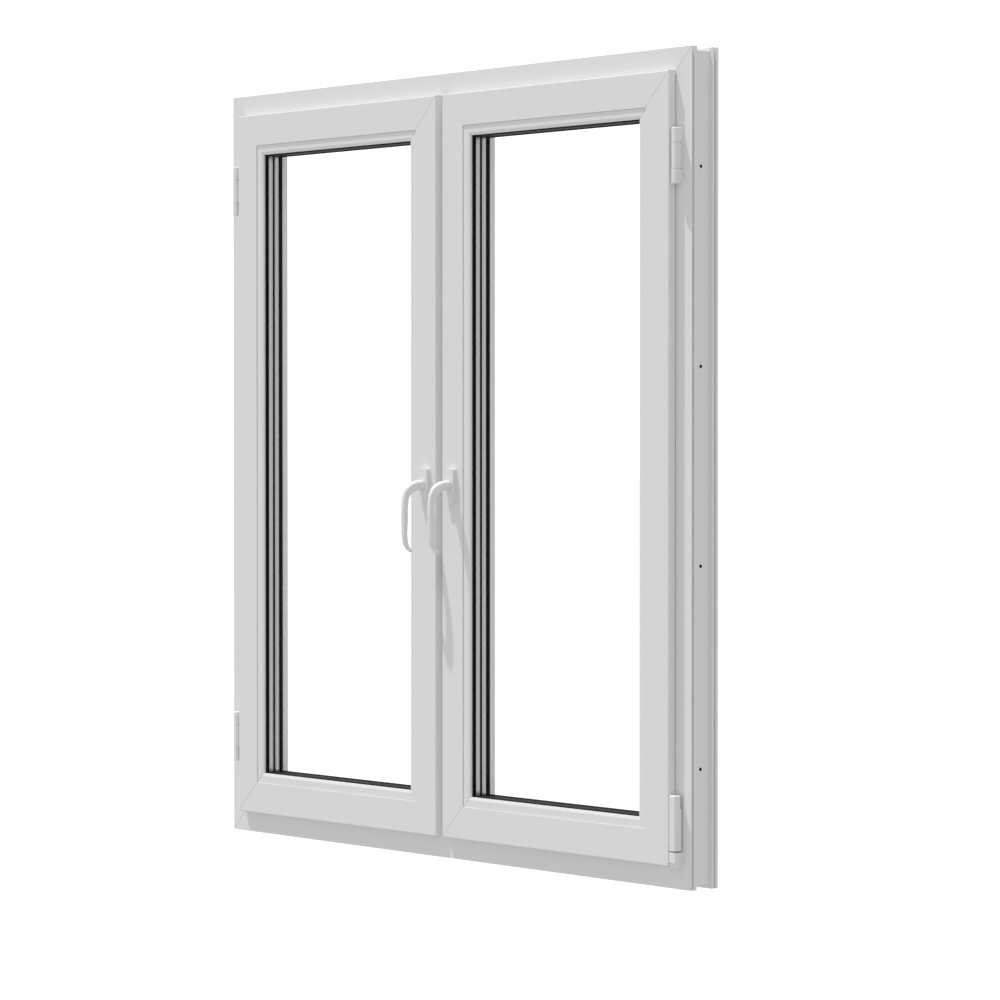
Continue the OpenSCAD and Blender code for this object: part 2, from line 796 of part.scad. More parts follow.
function blend(a, b, t) = a + (b - a) * t;
function neckness(heading) = pow(max(0, cos(heading)), 2);
function outward(heading) = [-sin(heading), cos(heading)];
function forward(heading) = [-cos(heading), -sin(heading)];
function along(p, heading, r, turn) = p + r * (outward(heading + turn) - outward(heading));

// Points [position, heading] at the end of each arc of a path
function joints(p, heading, arcs, i = 0) = i == len(arcs) ? [[p, heading]] : concat([[p, heading]],
    joints(along(p, heading, arcs[i][0], arcs[i][1]), heading + arcs[i][1], arcs, i + 1));

// The same path in small steps
function arc_path(p, heading, arcs) = let (start = joints(p, heading, arcs))
    [for (i = [0 : len(arcs) - 1], turn = [arc_step : arc_step : arcs[i][1]])
        [along(start[i][0], start[i][1], arcs[i][0], turn), start[i][1] + turn]];

// A station of the lever: [y, z, heading, half height, half width]
function station(joint, half, half_w) = [joint[0][0], joint[0][1], joint[1], half, half_w];

neck_y = plate_front - clear;
bend_reach = -joints([0, 0], 0, neck_arcs)[len(neck_arcs)][0][0];
bend_start = [-(sash_proud + grip_out) + grip_half + bend_reach, neck_lift];
neck_path = concat([[[neck_y, neck_lift], 0], [bend_start, 0]], arc_path(bend_start, 0, neck_arcs));
grip_start = neck_path[len(neck_path) - 1][0];
tip_start = grip_start + grip_l * forward(90);
tip_path = arc_path(tip_start, 90, tip_arcs);
tip_end = tip_path[len(tip_path) - 1];

neck_stations = [for (j = neck_path) station(j, blend(grip_half, neck_half, cos(j[1])),
    blend(grip_half_w, neck_half_w, neckness(j[1])))];
grip_stations = [for (t = [0.5, 0.75, 1]) station([grip_start + t * grip_l * forward(90), 90],
    blend(grip_half, grip_end_half, 2 * t - 1), grip_half_w)];
tip_stations = [for (j = tip_path) let (t = (j[1] - 90) / tip_turn)
    station(j, blend(grip_end_half, tip_half, t), blend(grip_half_w, tip_half_w, t))];
end_stations = [for (turn = [30, 55, 75]) let (less = tip_round * (1 - cos(turn)))
    station([tip_end[0] + tip_round * sin(turn) * forward(tip_end[1]), tip_end[1]],
        tip_half - less, tip_half_w - less)];
lever_stations = concat(neck_stations, grip_stations, tip_stations, end_stations);

// A ring whose corners are pushed out: nearly round at the neck, a rounded square at the grip
neck_power = 0.9;
grip_power = 0.5;
function pushed(c, power) = sign(c) * pow(abs(c), power);
function lever_ring(s) = let (power = blend(grip_power, neck_power, neckness(s[2])))
    [for (i = [0 : ring_sides - 1])
        let (a = 360 * i / ring_sides, n = outward(s[2]) * s[3] * pushed(cos(a), power))
        [s[4] * pushed(sin(a), power), s[0] + n[0], s[1] + n[1]]];

module lever() {
    rings = [for (s = lever_stations) lever_ring(s)];
    points = [for (r = rings, p = r) p];
    last = (len(rings) - 1) * ring_sides;
    walls = [for (r = [0 : len(rings) - 2], i = [0 : ring_sides - 1])
        let (j = (i + 1) % ring_sides, a = r * ring_sides, b = a + ring_sides)
        [a + i, b + i, b + j, a + j]];
    caps = [[for (i = [0 : ring_sides - 1]) i], [for (i = [ring_sides - 1 : -1 : 0]) last + i]];
    polyhedron(points, concat(walls, caps), convexity = 4);
}

module handle(hand) {
    color(cap_white) at_lock_edge(hand) translate([handle_s, 0, handle_z]) lever();
}

// ---- Hinges ----

// Plan of a hinge part round its axis, with the upright edges of its room side rounded by r
module hinge_plan(x0, x1, y1, r) {
    difference() {
        rect(x0, -hinge_front, x1, y1);
        corner_cut(x0, -hinge_front, 1, 1, r);
        corner_cut(x1, -hinge_front, -1, 1, r);
    }
}

// Stands a plan on z = 0 and bevels its two ends towards the room and to both sides
module bevelled(x0, x1, h, foot, top) {
    wide = 4 * hinge_out;
    intersection() {
        linear_extrude(h) children();
        rotate([90, 0, 0]) translate([0, 0, -wide]) linear_extrude(2 * wide)
            polygon([[x0 + foot, 0], [x1 - foot, 0], [x1, foot], [x1, h - top], [x1 - top, h],
                [x0 + top, h], [x0, h - top], [x0, foot]]);
        rotate([90, 0, 90]) translate([0, 0, -wide]) linear_extrude(2 * wide)
            polygon([[-hinge_front + foot, 0], [wide, 0], [wide, h], [-hinge_front + top, h],
                [-hinge_front, h - top], [-hinge_front, foot]]);
    }
}

end_part = (hinge_h - hinge_mid) / 2 - clear;
pin_cap = 3;

// The two end parts of a hinge, seated on the frame's room face round the pressed-in pin
module hinge_ends(hand, z) {
    at_hinge_axis(hand) for (turn = [-1, 1])
        translate([0, 0, z]) scale([1, 1, turn]) translate([0, 0, hinge_mid / 2 + clear]) difference() {
            bevelled(-hinge_side, hinge_side, end_part, joint_bevel, end_bevel)
                hinge_plan(-hinge_side, hinge_side, hinge_out, hinge_round);
            translate([0, 0, -over]) cylinder(d = pin_d + 0.04, h = end_part + over - pin_cap);
        }
}

module hinge_pin(hand, z) {
    pin_l = hinge_h - 2 * pin_cap - 2 * clear;
    at_hinge_axis(hand) translate([0, 0, z - pin_l / 2]) cylinder(d = pin_d, h = pin_l);
}

// The middle part, turning on the pin
module hinge_middle() {
    difference() {
        union() {
            translate([0, 0, -hinge_mid / 2])
                bevelled(-hinge_side, hinge_side, hinge_mid, joint_bevel, joint_bevel) {
                    hinge_plan(-hinge_side, hinge_side, 0, hinge_round);
                    circle(hinge_side);
                }
            children();
        }
        translate([0, 0, -hinge_mid]) cylinder(d = pin_d + 2 * running, h = 2 * hinge_mid);
    }
}

module left_frame_hinges() {
    color(cap_white) for (z = [lower_hinge_z, upper_hinge_z]) hinge_ends("left", z);
}

module right_stay_bearing() {
    color(cap_white) hinge_ends("right", upper_hinge_z);
}

module hinge_pins() {
    color(steel) {
        for (z = [lower_hinge_z, upper_hinge_z]) hinge_pin("left", z);
        hinge_pin("right", upper_hinge_z);
    }
}

// Leaf from inside a hinge to the edge of the sash's lap
module leaf(x0, z0, z1) {
    leaf_y = (sash_front + lap_back) / 2 - axis_y;
    block([x0, leaf_y - leaf_t / 2, z0], [reveal - hinge_in, leaf_y + leaf_t / 2, z1]);
}

module left_sash_hinges() {
    color(cap_white) at_hinge_axis("left") for (z = [lower_hinge_z, upper_hinge_z]) translate([0, 0, z])
        hinge_middle() leaf(0, -hinge_mid / 2 + leaf_end, hinge_mid / 2 - leaf_end);
}

// Middle part of the right upper hinge: a tongue lies in the pocket behind the sash's lap, a
// riser climbs in the gap beside the sash and carries the flat arm over its top edge
module right_stay_arm() {
    riser_x = frame_w - hinge_in + riser_in;
    arm_z0 = sash_z1 - sash_body + stay_lift;
    arm_y = groove_mid - stay_w / 2 - axis_y - 1;
    front = tongue_y - axis_y;
    riser_front = lap_back + clear - axis_y;
    color(zinc) at_hinge_axis("right") {
        translate([0, 0, upper_hinge_z]) {
            hinge_middle() {
                block([0, 0, -tongue_half], [hinge_side, front + tongue_t, tongue_half]);
                block([0, front, -tongue_half], [riser_x + riser_w, front + tongue_t, tongue_half]);
            }
            block([riser_x, front, -tongue_half], [riser_x + riser_w, riser_front + riser_d, tongue_half]);
        }
        block([riser_x, riser_front, upper_hinge_z],
            [riser_x + riser_w, riser_front + riser_d, arm_z0 + stay_t]);
        block([riser_x, arm_y, arm_z0], [stay_l, arm_y + stay_w, arm_z0 + stay_t]);
        translate([stay_l, arm_y + stay_w / 2, arm_z0]) cylinder(d = stay_w, h = stay_t);
    }
}

// ---- Corner hinge of the tilting sash ----

bracket_out = bush_r + running + 1.4;
bracket_low_front = bush_low_r + running + 1;
bracket_round = 1.2;

// Plan of the bracket, from its room side to the frame
module bracket_plan(front) {
    difference() {
        rect(-bracket_out, -front, cover_in, hinge_out);
        corner_cut(-bracket_out, -front, 1, 1, bracket_round);
        corner_cut(cover_in, -front, -1, 1, bracket_round);
    }
}

module right_corner_bracket() {
    color(cap_white) at_hinge_axis("right") difference() {
        union() {
            translate([0, 0, bracket_z0]) linear_extrude(bracket_step + over - bracket_z0)
                bracket_plan(bracket_low_front);
            translate([0, 0, bracket_step]) linear_extrude(bracket_top - bracket_step)
                bracket_plan(hinge_front);
        }
        translate([0, 0, bracket_z0 + bracket_floor]) cylinder(r = bush_low_r + running, h = bracket_top);
        translate([0, 0, bracket_step]) cylinder(r = bush_r + running, h = bracket_top);
    }
}

// Turns in the bracket and holds the ball end of the sash's pin, which tilts in its slot
module right_pivot_bush() {
    slot_half = tilt_pin_r + tilt_play;
    z0 = bracket_z0 + bracket_floor + bush_play;
    color(steel) at_hinge_axis("right") difference() {
        union() {
            translate([0, 0, z0]) cylinder(r = bush_low_r, h = bracket_step - z0 + over);
            translate([0, 0, bracket_step + bush_play])
                cylinder(r = bush_r, h = bracket_top - bracket_step - 2 * bush_play);
        }
        translate([0, 0, tilt_z]) sphere(r = tilt_ball_r + tilt_play);
        translate([0, 0, tilt_z]) cylinder(r = tilt_ball_r + tilt_play, h = bracket_top);
        block([-slot_half, -bush_r - over, tilt_z], [slot_half, 0, bracket_top + over]);
    }
}

// The cover stands on the tilting pin; its upper part is cut back behind the step
module right_corner_hinge() {
    z0 = bracket_top + cover_gap;
    color(cap_white) at_hinge_axis("right") {
        difference() {
            translate([0, 0, z0]) bevelled(-hinge_side, cover_in, cover_h, joint_bevel, end_bevel)
                hinge_plan(-hinge_side, cover_in, cover_back, cover_round);
            block([-hinge_w, cover_back_high, z0 + cover_step],
                [hinge_w, cover_back + over, z0 + cover_h + over]);
        }
        leaf(cover_in - over, z0 + cover_leaf_end, z0 + cover_h - cover_leaf_end);
        translate([0, 0, tilt_z]) cylinder(r = tilt_pin_r, h = z0 - tilt_z + over);
        translate([0, 0, tilt_z]) sphere(r = tilt_ball_r);
    }
}

// ---- Left sash, hung on the left ----

module left_sash_top() {
    color(pvc) sash_side("left", "top");
}

module left_sash_bottom() {
    color(pvc) sash_side("left", "bottom");
}

module left_hinge_stile() {
    color(pvc) sash_side("left", "left");
}

module left_lock_stile() {
    color(pvc) lock_stile("left");
}

module left_sash_steels() {
    sash_steels("left");
}

module left_beads() {
    beads("left");
}

module left_glazing_gaskets() {
    glazing_gaskets("left");
}

module left_sash_seal() {
    sash_seal("left");
}

module left_pane_inner() {
    pane("left", 0);
}

module left_pane_middle() {
    pane("left", 1);
}

module left_pane_outer() {
    pane("left", 2);
}

module left_spacers() {
    spacers("left");
}

module left_edge_seal() {
    edge_seal("left");
}

module left_setting_blocks() {
    setting_blocks("left");
}

module left_forend() {
    forend("left");
}

module left_gearbox() {
    gearbox("left");
}

module left_handle_plate() {
    handle_plate("left");
}

module left_handle() {
    handle("left");
}

module left_spindle() {
    spindle("left");
}

module left_drive_rod() {
    drive_rod("left");
}

// ---- Right sash, hung on the right, which also tilts ----

module right_sash_top() {
    color(pvc) sash_side("right", "top");
}

module right_sash_bottom() {
    color(pvc) sash_side("right", "bottom");
}

// The back of the lap is milled where the stay's tongue lies
module right_hinge_stile() {
    color(pvc) difference() {
        sash_side("right", "right");
        block([sash_x1("right") - sash_body, tongue_y - clear, upper_hinge_z - tongue_pocket],
            [sash_x1("right") + over, 0, upper_hinge_z + tongue_pocket]);
    }
}

module right_lock_stile() {
    color(pvc) lock_stile("right");
}

module right_sash_steels() {
    sash_steels("right");
}

module right_beads() {
    beads("right");
}

module right_glazing_gaskets() {
    glazing_gaskets("right");
}

// The seal is notched where the stay's tongue passes
module right_sash_seal() {
    color(rubber) difference() {
        sash_seal("right");
        block([sash_x1("right") - sash_lap, lap_back - groove_d, upper_hinge_z - tongue_pocket],
            [sash_x1("right"), 0, upper_hinge_z + tongue_pocket]);
    }
}

module right_pane_inner() {
    pane("right", 0);
}

module right_pane_middle() {
    pane("right", 1);
}

module right_pane_outer() {
    pane("right", 2);
}

module right_spacers() {
    spacers("right");
}

module right_edge_seal() {
    edge_seal("right");
}

module right_setting_blocks() {
    setting_blocks("right");
}

module right_forend() {
    forend("right");
}

module right_gearbox() {
    gearbox("right");
}

module right_handle_plate() {
    handle_plate("right");
}

module right_handle() {
    handle("right");
}

module right_spindle() {
    spindle("right");
}

module right_drive_rod() {
    drive_rod("right");
}

frame_head();
frame_sill();
frame_jamb_left();
frame_jamb_right();
mullion();
frame_steels();
mullion_connectors();
frame_gaskets();
drain_caps();
left_keeps();
right_keeps();
left_frame_hinges();
right_stay_bearing();
hinge_pins();
right_corner_bracket();
left_sash_top();
left_sash_bottom();
left_hinge_stile();
left_lock_stile();
left_sash_steels();
left_beads();
left_glazing_gaskets();
left_sash_seal();
left_pane_inner();
left_pane_middle();
left_pane_outer();
left_spacers();
left_edge_seal();
left_setting_blocks();
left_forend();
left_gearbox();
left_handle_plate();
left_sash_hinges();
left_handle();
left_spindle();
left_drive_rod();
right_sash_top();
right_sash_bottom();
right_hinge_stile();
right_lock_stile();
right_sash_steels();
right_beads();
right_glazing_gaskets();
right_sash_seal();
right_pane_inner();
right_pane_middle();
right_pane_outer();
right_spacers();
right_edge_seal();
right_setting_blocks();
right_forend();
right_gearbox();
right_handle_plate();
right_corner_hinge();
right_pivot_bush();
right_stay_arm();
right_handle();
right_spindle();
right_drive_rod();
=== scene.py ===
import math

import bmesh
import bpy
from mathutils import Matrix, Vector


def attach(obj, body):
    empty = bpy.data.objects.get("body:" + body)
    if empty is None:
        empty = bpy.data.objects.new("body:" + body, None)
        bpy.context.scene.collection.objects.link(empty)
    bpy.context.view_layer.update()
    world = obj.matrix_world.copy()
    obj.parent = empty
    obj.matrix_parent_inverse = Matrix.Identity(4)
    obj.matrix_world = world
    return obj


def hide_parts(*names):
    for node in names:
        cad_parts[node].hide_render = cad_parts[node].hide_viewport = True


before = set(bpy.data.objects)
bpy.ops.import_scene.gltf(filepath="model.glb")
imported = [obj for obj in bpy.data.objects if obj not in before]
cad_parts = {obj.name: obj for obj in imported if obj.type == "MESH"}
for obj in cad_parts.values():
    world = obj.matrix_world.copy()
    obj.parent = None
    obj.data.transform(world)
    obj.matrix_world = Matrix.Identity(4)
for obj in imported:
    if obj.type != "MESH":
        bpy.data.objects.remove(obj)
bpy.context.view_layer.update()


# ---- Viewpoint and key lamp ----
# A long lens stands to the right of the window, at about its middle height. One small, high lamp
# to the upper left throws the crisp shadows down and to the right.

CAMERA_AT = (5.3495, -4.2883, 0.7601)
CAMERA_TURN = 0.88098
CAMERA_DIP = 0.01755
FOCAL_LENGTH, SENSOR_WIDTH = 138.19, 36.0
SIGHT = 200.0
LAMP_TRAVEL = (0.31, 0.22, -1.0)
LAMP_POWER, LAMP_WIDTH = 2.56, math.radians(1.2)

lens = bpy.data.cameras.new("studio_camera")
lens.lens = FOCAL_LENGTH
lens.sensor_width = SENSOR_WIDTH
lens.clip_end = SIGHT
camera = bpy.data.objects.new("studio_camera", lens)
camera.location = CAMERA_AT
camera.rotation_euler = (math.pi / 2 - CAMERA_DIP, 0.0, CAMERA_TURN)

lamp = bpy.data.lights.new("key_lamp", "SUN")
lamp.energy = LAMP_POWER
lamp.angle = LAMP_WIDTH
lamp_stand = bpy.data.objects.new("key_lamp", lamp)
lamp_stand.rotation_euler = Vector(LAMP_TRAVEL).to_track_quat("-Z", "Y").to_euler()

for item in (camera, lamp_stand):
    bpy.context.scene.collection.objects.link(item)
bpy.context.scene.camera = camera
bpy.context.scene.view_settings.view_transform = "Standard"


# ---- Studio walls ----
# White walls all round light the window evenly, and look brighter than they light it, so that
# the window stands before plain white.

WALL_LIGHT = 0.625
WALL_SEEN = 1.25


class Wire:
    """An output of a shader node. Arithmetic on it adds Math nodes, and node() adds any other."""

    def __init__(self, socket):
        self.socket = socket

    def node(self, kind, settings=(), inputs=(), output=0):
        made = self.socket.id_data.nodes.new(kind)
        for name, value in dict(settings).items():
            setattr(made, name, value)
        for name, value in dict(inputs).items():
            if isinstance(value, Wire):
                self.socket.id_data.links.new(value.socket, made.inputs[name])
            else:
                made.inputs[name].default_value = value
        return Wire(made.outputs[output]) if made.outputs else None

    def maths(self, operation, first, second=0.0):
        return self.node("ShaderNodeMath", {"operation": operation}, {0: first, 1: second})

    def __add__(self, other):
        return self.maths("ADD", self, other)

    def __sub__(self, other):
        return self.maths("SUBTRACT", self, other)

    def __rsub__(self, other):
        return self.maths("SUBTRACT", other, self)

    def __mul__(self, other):
        return self.maths("MULTIPLY", self, other)

    def __mod__(self, other):
        return self.maths("FLOORED_MODULO", self, other)

    def __pow__(self, other):
        return self.maths("POWER", self, other)

    def __abs__(self):
        return self.maths("ABSOLUTE", self)

    def __and__(self, other):
        """The lower of two values."""
        return self.maths("MINIMUM", self, other)

    __radd__ = __add__
    __rmul__ = __mul__


walls = bpy.data.worlds.new("studio_walls")
walls.use_nodes = True
walls.node_tree.nodes.clear()
seen = Wire(walls.node_tree.nodes.new("ShaderNodeLightPath").outputs["Is Camera Ray"])
shine = seen.node("ShaderNodeBackground", inputs={
    "Color": (1.0, 1.0, 1.0, 1.0), "Strength": seen * (WALL_SEEN - WALL_LIGHT) + WALL_LIGHT})
shine.node("ShaderNodeOutputWorld", inputs={"Surface": shine})
bpy.context.scene.world = walls


# ---- Studio floor ----
# A plain pale floor, seen but kept out of the soft light, which comes from all round. The key
# lamp throws only a faint shadow on it.

FLOOR_SIZE = 80.0
FLOOR_TONES, FLOOR_GLOW = (0.05, 0.06), 1.1


def finish(name, recipe):
    """A Principled material. recipe(place, x, y, z) gives its sockets, and Height, in metres."""
    material = bpy.data.materials.new(name)
    material.use_nodes = True
    tree = material.node_tree
    place = Wire(tree.nodes.new("ShaderNodeTexCoord").outputs["Object"])
    split = place.node("ShaderNodeSeparateXYZ", inputs={0: place}).socket.node
    sockets = recipe(place, *(Wire(axis) for axis in split.outputs))
    if "Height" in sockets:
        sockets["Normal"] = place.node("ShaderNodeBump", inputs={
            "Height": sockets.pop("Height"), "Distance": 1.0, "Strength": 1.0})
    shader = tree.nodes["Principled BSDF"]
    for socket, value in sockets.items():
        if isinstance(value, Wire):
            tree.links.new(value.socket, shader.inputs[socket])
        else:
            shader.inputs[socket].default_value = value
    return material


def noise(place, scale, detail=2.0, stretch=None):
    """Noise from 0 to 1 with that many waves to the metre, stretched along the axes if asked."""
    if stretch:
        place = place.node("ShaderNodeMapping", inputs={"Vector": place, "Scale": stretch})
    return place.node("ShaderNodeTexNoise", inputs={
        "Vector": place, "Scale": scale, "Detail": detail})


def mixed(mask, first, second):
    """The first colour where mask is 0, the second where it is 1."""
    return mask.node("ShaderNodeMix", {"data_type": "RGBA"}, {0: mask, 6: first, 7: second},
                     output=2)


def grey(shade, tint=0.0):
    """A grey, with a little more blue than red by tint."""
    return (shade, shade + tint * 0.3, shade + tint, 1.0)


def floor_recipe(place, x, y, z):
    dark, light = FLOOR_TONES
    return {"Base Color": mixed(noise(place, 3.0), grey(dark), grey(light)), "Roughness": 0.9,
            "Specular IOR Level": 0.0, "Emission Color": grey(1.0),
            "Emission Strength": FLOOR_GLOW}


sheet = bmesh.new()
bmesh.ops.create_grid(sheet, x_segments=1, y_segments=1, size=FLOOR_SIZE / 2)
floor_mesh = bpy.data.meshes.new("studio_floor")
sheet.to_mesh(floor_mesh)
sheet.free()
floor_mesh.materials.append(finish("studio_floor", floor_recipe))
floor = bpy.data.objects.new("studio_floor", floor_mesh)
bpy.context.scene.collection.objects.link(floor)
floor.visible_diffuse = floor.visible_glossy = floor.visible_shadow = False


# ---- Outer frame ----
# Four hollow white PVC-U extrusions, cut at 45 degrees and hot-plate welded at the corners, where
# the cleaned weld leaves a fine groove. The mullion between the sashes is butted and screwed.

FRAME_HALF, FRAME_TOP = 0.65, 1.4
PVC, PVC_CLOUD = grey(0.838, 0.004), grey(0.827, 0.003)
# Falling weld lines keep the joint's own darker tone; rising ones add painted shade to it.
RISING_SEAM_AND_PAINTED_SHADE, FALLING_SEAM = grey(0.58), grey(0.78)
SEAM_HALF, SEAM_DEPTH = 0.0014, 0.0002
GRAIN_HEIGHT, DIE_HEIGHT = 0.000006, 0.000004
ALONG_X = (1.0, 900.0, 900.0)
ALONG_Z = (900.0, 900.0, 1.0)


def step(value, low, high):
    """1 where value is under low, 0 where it is over high, smooth between."""
    return value.node("ShaderNodeMapRange", {"interpolation_type": "SMOOTHSTEP"},
                      {0: value, 1: low, 2: high, 3: 1.0, 4: 0.0})


def pvc(name, along, outline=None):
    """White PVC-U extruded along an axis. outline is (middle x, half width, foot, head) of the
    rectangle whose mitred corners it meets."""

    def recipe(place, x, y, z):
        grain = noise(place, 650.0, 3.0)
        die_lines = noise(place, 1.0, 3.0, along)
        cloud = noise(place, 5.0, 2.0)
        height = grain * GRAIN_HEIGHT + die_lines * DIE_HEIGHT
        colour = mixed(cloud, PVC, PVC_CLOUD)
        roughness = cloud * 0.08 + grain * 0.06 + 0.3
        if outline:
            middle, half, foot, head = outline
            side = half - abs(x - middle)
            end = (z - foot) & (head - z)
            seam = step(abs(side - end), 0.0, SEAM_HALF)
            # Rising weld lines, which the key lamp's light crosses, are painted darker: painted
            # shade over the joint's tone.
            rising_painted_shade = step((x - middle) * (z - (foot + head) / 2), 0.001, -0.001)
            colour = mixed(seam, colour, mixed(rising_painted_shade, FALLING_SEAM, RISING_SEAM_AND_PAINTED_SHADE))
            height = height - seam * SEAM_DEPTH
            roughness = roughness + seam * 0.15
        return {"Base Color": colour, "Roughness": roughness, "Height": height}

    return finish(name, recipe)


def paint(material, *names):
    """Gives CAD nodes their finish."""
    for name in names:
        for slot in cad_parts[name].material_slots:
            slot.material = material


frame_outline = (0.0, FRAME_HALF, 0.0, FRAME_TOP)
paint(pvc("pvc_frame_across", ALONG_X, frame_outline), "frame_head", "frame_sill")
paint(pvc("pvc_frame_up", ALONG_Z, frame_outline), "frame_jamb_left", "frame_jamb_right")
paint(pvc("pvc_mullion", ALONG_Z), "mullion")


# ---- Reinforcement inside the profiles ----
# Rolled steel tubes and channels, hot-dip galvanised, pushed into the main chambers before the
# corners are welded. Blocks in the mullion's ends take the screws from head and sill.


def galvanised_recipe(place, x, y, z):
    spangle = place.node("ShaderNodeTexVoronoi", inputs={"Vector": place, "Scale": 160.0},
                         output=1)
    tone = place.node("ShaderNodeSeparateColor", inputs={0: spangle})
    return {"Base Color": mixed(tone, grey(0.5, 0.02), grey(0.64, 0.02)), "Metallic": 1.0,
            "Roughness": tone * 0.2 + 0.35, "Height": tone * 0.00001}


galvanised = finish("galvanised_steel", galvanised_recipe)
paint(galvanised, "frame_steels", "mullion_connectors", "left_sash_steels", "right_sash_steels")


# ---- Weather gaskets ----
# Black EPDM bulb gaskets, rolled into grooves of the frame's flange and of the sash's lap, in one
# length each with vulcanised corners.

RUBBER = grey(0.006)
RUBBER_BLOOM = grey(0.014, 0.001)


def rubber_recipe(place, x, y, z):
    grain = noise(place, 900.0, 3.0)
    bloom = noise(place, 30.0, 3.0)
    return {"Base Color": mixed(bloom, RUBBER, RUBBER_BLOOM), "Roughness": grain * 0.2 + 0.6,
            "Specular IOR Level": 0.15, "Height": grain * 0.00002}


rubber = finish("black_rubber", rubber_recipe)
paint(rubber, "frame_gaskets", "left_sash_seal", "right_sash_seal")


# ---- Moulded and coated white parts ----
# Drain hoods are moulded caps. Hinge bodies, handle plates and levers are die-cast zinc with a
# white powder coat, which leaves a fine orange peel.

COAT, COAT_CLOUD = grey(0.84, 0.004), grey(0.825, 0.003)
PEEL_HEIGHT = 0.000012


def coated_recipe(place, x, y, z):
    peel = noise(place, 420.0, 2.0)
    cloud = noise(place, 12.0, 2.0)
    return {"Base Color": mixed(cloud, COAT, COAT_CLOUD),
            "Roughness": peel * 0.1 + cloud * 0.05 + 0.3, "Height": peel * PEEL_HEIGHT}


coated = finish("white_coating", coated_recipe)
paint(coated, "drain_caps", "left_frame_hinges", "right_stay_bearing", "right_corner_bracket",
      "left_sash_hinges", "right_corner_hinge", "left_handle_plate", "right_handle_plate")


# ---- Bright metal parts ----
# Keeps, rods and forends are zinc-plated steel strip, and pins and spindles are turned steel. The
# stay arm is zinc-plated too, but the part of it that turns in the upper hinge is coated white.

ZINC, ZINC_CLOUD = grey(0.62, 0.012), grey(0.72, 0.018)
STEEL_RINGS = grey(0.55, 0.01), grey(0.68, 0.01)
WHITE_FROM, WHITE_EDGE, WHITE_ROUGHNESS = 0.6158, 0.0004, 0.34


def zinc_finish(name, white_from=None):
    """Zinc plate, and the white coat on all that lies past an X where one is given."""

    def recipe(place, x, y, z):
        brushed = noise(place, 1.0, 3.0, (900.0, 900.0, 12.0))
        cloud = noise(place, 40.0, 3.0)
        colour = mixed(cloud, ZINC, ZINC_CLOUD)
        roughness = brushed * 0.14 + cloud * 0.1 + 0.24
        metal = 1.0
        if white_from:
            bare = step(x, white_from, white_from + WHITE_EDGE)
            colour = mixed(bare, COAT, colour)
            roughness = bare * (roughness - WHITE_ROUGHNESS) + WHITE_ROUGHNESS
            metal = bare
        return {"Base Color": colour, "Metallic": metal, "Roughness": roughness,
                "Height": brushed * 0.000006}

    return finish(name, recipe)


def turned_recipe(place, x, y, z):
    rings = noise(place, 1.0, 2.0, (30.0, 30.0, 2400.0))
    return {"Base Color": mixed(rings, *STEEL_RINGS), "Metallic": 1.0,
            "Roughness": rings * 0.2 + 0.2, "Height": rings * 0.000004}


zinc = zinc_finish("zinc_plate")
turned = finish("turned_steel", turned_recipe)
paint(zinc, "left_keeps", "right_keeps", "left_forend", "right_forend", "left_drive_rod",
      "right_drive_rod", "left_gearbox", "right_gearbox")
paint(zinc_finish("zinc_and_white", WHITE_FROM), "right_stay_arm")
paint(turned, "hinge_pins", "right_pivot_bush", "left_spindle", "right_spindle")


# ---- Screws ----
# Zinc-plated pan-head screws hold the keeps on the mullion and the forends in the sashes' groove.
# Only their heads are seen: each is a low cone with a driver's recess sunk in its top.

HEAD_FOOT_R, HEAD_TOP_R, HEAD_H = 0.0034, 0.0024, 0.0008
RECESS_IN, RECESS_EDGE, RECESS_DEPTH = 0.0008, 0.0003, 0.0006
KEEP_FACE, FOREND_FACE, GROOVE_Y = 0.01955, 0.02915, 0.010
KEEP_MIDDLES = (0.189, 0.415, 0.915, 1.211)
KEEP_LIFT = {"left": 0.009, "right": 0.018}
KEEP_SCREW = 0.025
FOREND_SCREWS = (0.135, 0.300, 0.520, 0.600, 0.730, 0.800, 1.050, 1.265)


def make_piece(name, shape, material, body, replaced=(), smooth=True):
    """Turns a bmesh into a piece of the window, smooth on its rounded parts if asked."""
    bmesh.ops.recalc_face_normals(shape, faces=shape.faces)
    mesh = bpy.data.meshes.new(name)
    shape.to_mesh(mesh)
    shape.free()
    if smooth:
        mesh.shade_smooth()
        mesh.set_sharp_from_angle(angle=math.radians(30.0))
    mesh.materials.append(material)
    piece = bpy.data.objects.new(name, mesh)
    bpy.context.scene.collection.objects.link(piece)
    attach(piece, body)
    if replaced:
        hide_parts(*replaced)
    return piece


def add_part(whole, part, turn, place):
    """Turns a small bmesh about Y, moves it to its place and adds it to a larger one."""
    bmesh.ops.rotate(part, verts=part.verts, cent=(0, 0, 0), matrix=Matrix.Rotation(turn, 3, "Y"))
    bmesh.ops.translate(part, verts=part.verts, vec=place)
    carrier = bpy.data.meshes.new("carrier")
    part.to_mesh(carrier)
    part.free()
    whole.from_mesh(carrier)
    bpy.data.meshes.remove(carrier)


def screws(name, body, face_x, look, heights):
    """Screw heads on an upright face at x = face_x, which look towards -X or +X (look -1 or 1)."""
    heads = bmesh.new()
    for height in heights:
        head = bmesh.new()
        bmesh.ops.create_cone(head, cap_ends=True, segments=16, radius1=HEAD_FOOT_R,
                              radius2=HEAD_TOP_R, depth=HEAD_H)
        top = max(head.faces, key=lambda face: face.calc_center_median().z)
        bmesh.ops.inset_region(head, faces=[top], thickness=RECESS_IN, use_even_offset=True)
        bmesh.ops.inset_region(head, faces=[top], thickness=RECESS_EDGE, depth=-RECESS_DEPTH,
                               use_even_offset=True)
        add_part(heads, head, look * math.pi / 2,
                 (face_x + look * HEAD_H / 2, GROOVE_Y, height))
    make_piece(name, heads, zinc, body)


